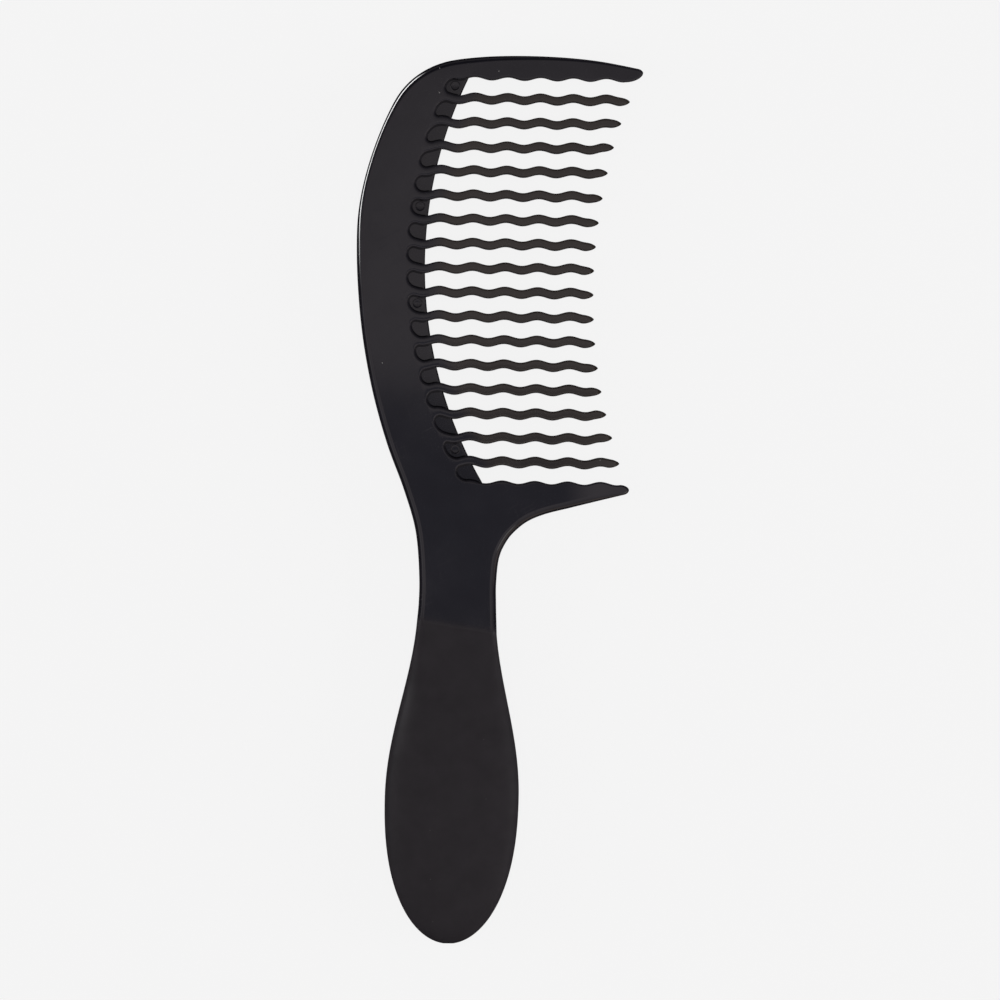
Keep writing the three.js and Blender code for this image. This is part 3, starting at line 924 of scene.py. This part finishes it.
def tooth_section(half_width, half_height):
    """A quarter of a tooth's section, from the parting line up to the middle of its top, as
    (y, z, how much it is an edge). Near the point its details shrink with the section."""
    round_width = min(TOOTH_ROUND[0], half_width * 0.3)
    round_height = min(TOOTH_ROUND[1], half_height * 0.4)
    lean = min(TOOTH_LEAN, half_width * 0.2)
    ridge = min(PARTING_RIDGE, half_width * 0.06)
    ridge_half_height = min(PARTING_HALF_HEIGHT, half_height * 0.2)
    quarter = [(half_width, 0.0, 0.0), (half_width - ridge, ridge_half_height, 0.0)]
    for step in range(ROUND_STEPS + 1):
        turn = math.pi / 2 * step / ROUND_STEPS
        y = half_width - ridge - lean - round_width * (1 - math.cos(turn))
        z = half_height - round_height * (1 - math.sin(turn))
        quarter.append((y, z, math.sin(2 * turn)))
    quarter.append((0.0, half_height, 0.0))
    return quarter


def full_section(quarter):
    """The whole section, anticlockwise about +X, from its quarter."""
    upper = quarter + [(-y, z, e) for y, z, e in quarter[-2::-1]]
    lower = [(y, -z, e) for y, z, e in upper[-2:0:-1]]
    return upper + lower


def make_tooth(index, material):
    """A free tooth, drawn as rings from its root to its point."""
    start_x = rib_cut_x(tooth_y(index))
    tip_x = tooth_tip_x(index)
    body = np.linspace(start_x, tip_x - TOOTH_POINT_LENGTH, TOOTH_RINGS)
    along = np.linspace(0, math.pi / 2, TOOTH_POINT_RINGS + 2)[1:-1]
    point = tip_x - TOOTH_POINT_LENGTH * (1 - np.sin(along))
    rings = []
    edges = []
    for x in [*body, *point]:
        from_tip = tip_x - x
        half_width = tooth_half_width(from_tip)
        in_nose = 1 - clamp01(from_tip / TOOTH_NOSE_LENGTH)
        rounding = math.sqrt(1 - in_nose ** 2)
        half_height = HALF_THICKNESS * thickness_share(x, start_x) * rounding
        section = full_section(tooth_section(half_width, half_height))
        line_y = tooth_line_y(index, x)
        rings.append([(x, line_y + y, z) for y, z, _ in section])
        edges.append([e for _, _, e in section])
    number = f"{index + 1:02d}"
    tip = (tip_x, tooth_line_y(index, tip_x), 0.0)
    return make_sweep(
        f"tooth_{number}_body", f"tooth_{number}", material,
        [ring[::-1] for ring in rings], [edge[::-1] for edge in edges], tip,
    )


# Grip


def grip_half_height(y):
    if y > GRIP_HIGHEST_Y:
        return lerp(HALF_THICKNESS, GRIP_HALF_HEIGHT, eased(GRIP_JOINT_Y, GRIP_HIGHEST_Y, y))
    along = (GRIP_HIGHEST_Y - y) / (GRIP_HIGHEST_Y - GRIP_END_Y)
    return GRIP_HALF_HEIGHT * math.sqrt(max(1 - along ** GRIP_END_SIDE_POWER, 0.0))


def grip_section(y):
    """A quarter of the grip's section: the neck's at the joint, and further down a full oval."""
    half_width = grip_half_width(y)
    half_height = grip_half_height(y)
    domed = eased(GRIP_JOINT_Y, GRIP_JOINT_Y - GRIP_DOME_LENGTH, y)
    ridge = min(PARTING_RIDGE, half_width * 0.02)
    wall_width = half_width - ridge
    round_width, round_height = SOFT_ROUND
    flat_width = wall_width - WALL_LEAN - round_width
    ridge_half_height = min(PARTING_HALF_HEIGHT, half_height * 0.04)
    quarter = [(half_width, 0.0, 0.0), (wall_width, ridge_half_height, 0.0)]
    for step in range(GRIP_QUARTER_STEPS + 1):
        along = step / GRIP_QUARTER_STEPS
        oval_turn = math.pi / 2 * along
        oval_x = wall_width * math.cos(oval_turn) ** GRIP_OVAL_POWER
        oval_z = half_height * math.sin(oval_turn) ** GRIP_OVAL_POWER
        neck_turn = math.pi / 2 * clamp01(2 * along)
        across_flat = clamp01(2 * along - 1)
        neck_x = (flat_width + round_width * math.cos(neck_turn)) * (1 - across_flat)
        neck_z = half_height - round_height * (1 - math.sin(neck_turn))
        x = lerp(neck_x, oval_x, domed)
        z = lerp(neck_z, oval_z, domed)
        edge = 0.5 * math.sin(2 * neck_turn) * (1 - domed)
        quarter.append((x, z, edge))
    return quarter


def make_grip(material):
    """The grip, drawn as rings that slant at the joint and are square further down."""
    end_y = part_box("handle_grip")[0][1] / MM - PLAN_SHIFT[1]
    rings = []
    edges = []
    for turn in np.linspace(0, math.pi / 2, GRIP_RINGS):
        y = lerp(GRIP_JOINT_Y, end_y, math.sin(turn))
        slant = GRIP_JOINT_SLOPE * (1 - eased(GRIP_JOINT_Y, GRIP_JOINT_Y - GRIP_SLANT_LENGTH, y))
        ring = []
        section = full_section(grip_section(y))
        for x, z, _ in section:
            slanted_y = y + slant * x
            widened = grip_half_width(slanted_y) / grip_half_width(y)
            ring.append((grip_centre_x(slanted_y) + x * widened, slanted_y, z))
        rings.append(ring)
        edges.append([e for _, _, e in section])
    tip = (grip_centre_x(end_y), end_y, 0.0)
    return make_sweep("grip_body", "handle_grip", material, rings, edges, tip)


# Stage


def rectangle(name, half_width, half_height):
    """A flat mesh about the origin that faces up."""
    mesh = bpy.data.meshes.new(name)
    w, h = half_width, half_height
    mesh.from_pydata([(-w, -h, 0), (w, -h, 0), (w, h, 0), (-w, h, 0)], [], [(0, 1, 2, 3)])
    return mesh


def make_floor():
    """A pale table that glows, as a lit light table does, and so has only faint shadows. It
    neither shows in the comb nor lights it."""
    mesh = rectangle("floor", FLOOR_HALF_SIZE, FLOOR_HALF_SIZE)
    material, _, shader = new_material("light_table")
    shader.inputs["Base Color"].default_value = FLOOR_COLOUR
    shader.inputs["Roughness"].default_value = 0.9
    shader.inputs["Specular IOR Level"].default_value = 0.0
    shader.inputs["Emission Color"].default_value = (1, 1, 1, 1)
    shader.inputs["Emission Strength"].default_value = FLOOR_GLOW
    mesh.materials.append(material)
    floor = bpy.data.objects.new("floor", mesh)
    floor.visible_glossy = False
    floor.visible_diffuse = False
    bpy.context.scene.collection.objects.link(floor)


def around(azimuth, elevation, distance):
    """A place about the comb, from its direction in degrees and its distance in metres."""
    turn, rise = math.radians(azimuth), math.radians(elevation)
    level = math.cos(rise)
    return distance * Vector((math.cos(turn) * level, math.sin(turn) * level, math.sin(rise)))


def facing(place, target):
    """The turn that points something's Z axis at place from target."""
    return (place - target).to_track_quat("Z", "Y").to_euler()


def make_card(name, place, turn, size, fade, colour):
    """A studio card that only shows in reflections. Its edges fade out over a distance."""
    half_width, half_height = size[0] / 2, size[1] / 2
    mesh = rectangle(name, half_width, half_height)
    material, tree, shader = new_material(name)
    shader.inputs["Base Color"].default_value = (0, 0, 0, 1)
    shader.inputs["Specular IOR Level"].default_value = 0.0
    shader.inputs["Emission Color"].default_value = (*colour, 1)
    shader.inputs["Emission Strength"].default_value = 1.0
    place_on_card = add_node(tree, "ShaderNodeTexCoord", {}).outputs["Object"]
    axes = add_node(tree, "ShaderNodeSeparateXYZ", {"Vector": place_on_card})
    cover = 1.0
    for axis, reach, axis_fade in (("X", half_width, fade[0]), ("Y", half_height, fade[1])):
        from_middle = combine(tree, "ABSOLUTE", axes.outputs[axis], 0.0)
        inside = remap(tree, from_middle, reach - axis_fade, reach, 1.0, 0.0, "SMOOTHSTEP")
        cover = combine(tree, "MULTIPLY", cover, inside)
    tree.links.new(cover, shader.inputs["Alpha"])
    mesh.materials.append(material)
    card = bpy.data.objects.new(name, mesh)
    card.location = place
    card.rotation_euler = turn
    card.visible_camera = False
    card.visible_diffuse = False
    card.visible_shadow = False
    bpy.context.scene.collection.objects.link(card)


def make_cards():
    """A shade about the camera, a small bright window by the comb's head, a dim lamp and walls."""
    comb = Vector((0, 0, 0))
    head = Vector((-0.03, 0.1, 0.01))
    shade = Vector((0.055, -0.012, CAMERA_DISTANCE + 0.05))
    window = head + around(azimuth=154, elevation=22, distance=0.25)
    lamp = around(azimuth=-35, elevation=47, distance=1.0)
    left_wall = around(azimuth=192, elevation=40, distance=1.4)
    right_wall = around(azimuth=-40, elevation=12, distance=1.4)
    make_card(
        "camera_shade", shade, turn=(0, 0, 0),
        size=(1.21, 0.15), fade=(0.41, 0.012), colour=(0.28, 0.275, 0.325),
    )
    make_card(
        "window", window, turn=facing(window, head),
        size=(0.35, 0.115), fade=(0.06, 0.02), colour=(24, 24, 24),
    )
    make_card(
        "lamp", lamp, turn=facing(lamp, comb),
        size=(0.35, 0.3), fade=(0.05, 0.05), colour=(2.0, 1.9, 1.8),
    )
    make_card(
        "left_wall", left_wall, turn=facing(left_wall, comb),
        size=(0.9, 0.45), fade=(0.15, 0.1), colour=(0.9, 0.86, 0.9),
    )
    make_card(
        "right_wall", right_wall, turn=facing(right_wall, comb),
        size=(2.4, 1.3), fade=(0.4, 0.2), colour=(0.7, 0.58, 0.52),
    )


def make_lamp(name, place, size, energy):
    """A soft square lamp that doesn't show in reflections. Its energy is in watts."""
    light = bpy.data.lights.new(name, "AREA")
    light.size = size
    light.energy = energy
    lamp = bpy.data.objects.new(name, light)
    lamp.location = place
    lamp.rotation_euler = facing(place, Vector((0, 0, 0)))
    lamp.visible_camera = False
    lamp.visible_glossy = False
    bpy.context.scene.collection.objects.link(lamp)


def make_lamps():
    """A key light overhead, and a fill light low on each side."""
    left_fill = around(azimuth=180, elevation=15, distance=1.6)
    right_fill = around(azimuth=0, elevation=15, distance=1.6)
    make_lamp("key", Vector((0, 0.2, 3.2)), size=1.2, energy=22.0)
    make_lamp("left_fill", left_fill, size=0.8, energy=12.0)
    make_lamp("right_fill", right_fill, size=0.8, energy=17.0)


def make_world():
    """A soft light overhead that fades towards the horizon, with dark flags high up towards +Y."""
    world = bpy.data.worlds.new("studio")
    world.use_nodes = True
    tree = world.node_tree
    place = add_node(tree, "ShaderNodeTexCoord", {}).outputs["Generated"]
    direction = add_node(tree, "ShaderNodeSeparateXYZ", {"Vector": place}).outputs
    upward = remap(tree, direction["Z"], 0.0, 1.0, 0.0, OVERHEAD_LIGHT)
    near_flag = remap(tree, direction["Y"], *NEAR_FLAG_Y, 1.0, NEAR_FLAG_LIGHT, "SMOOTHSTEP")
    far_flag = remap(tree, direction["Y"], *FAR_FLAG_Y, 1.0, FAR_FLAG_LIGHT, "SMOOTHSTEP")
    flags = combine(tree, "MULTIPLY", near_flag, far_flag)
    below_flags = remap(tree, direction["Z"], *FLAG_BOTTOM_Z, 1.0, 0.0, "SMOOTHSTEP")
    flags = combine(tree, "MAXIMUM", flags, below_flags)
    flagged = combine(tree, "MULTIPLY", upward, flags)
    strength = combine(tree, "MAXIMUM", flagged, FAINTEST_LIGHT)
    background = tree.nodes["Background"]
    background.inputs["Color"].default_value = WORLD_COLOUR
    tree.links.new(strength, background.inputs["Strength"])
    bpy.context.scene.world = world


def make_camera():
    """Straight above the plan's origin, near the comb's middle, and turned a little."""
    camera_data = bpy.data.cameras.new("camera")
    camera_data.sensor_width = SENSOR_WIDTH
    camera_data.lens = SENSOR_WIDTH * CAMERA_DISTANCE / CAMERA_FIELD_WIDTH
    camera_data.clip_end = CAMERA_CLIP_END
    camera = bpy.data.objects.new("camera", camera_data)
    camera.location = Vector(PLAN_SHIFT) * MM + Vector((0, 0, CAMERA_DISTANCE))
    camera.rotation_euler = (0, 0, math.radians(CAMERA_TURN))
    bpy.context.scene.collection.objects.link(camera)
    bpy.context.scene.camera = camera


bpy.context.scene.view_settings.view_transform = "Standard"
make_world()
make_camera()
make_cards()
make_lamps()
make_floor()

body_plastic = moulded_plastic("body_plastic", GLOSS, SATIN, below_joint)
tooth_plastic = moulded_plastic("tooth_plastic", GLOSS, BRUSHED, past_web)
grip_plastic = moulded_plastic("grip_plastic", SATIN, SATIN, below_joint)

make_spine(body_plastic)
make_head_guard(body_plastic)
make_heel_guard(body_plastic)
make_web(body_plastic)
make_grip(grip_plastic)
for tooth_index in range(TOOTH_COUNT):
    make_tooth(tooth_index, tooth_plastic)
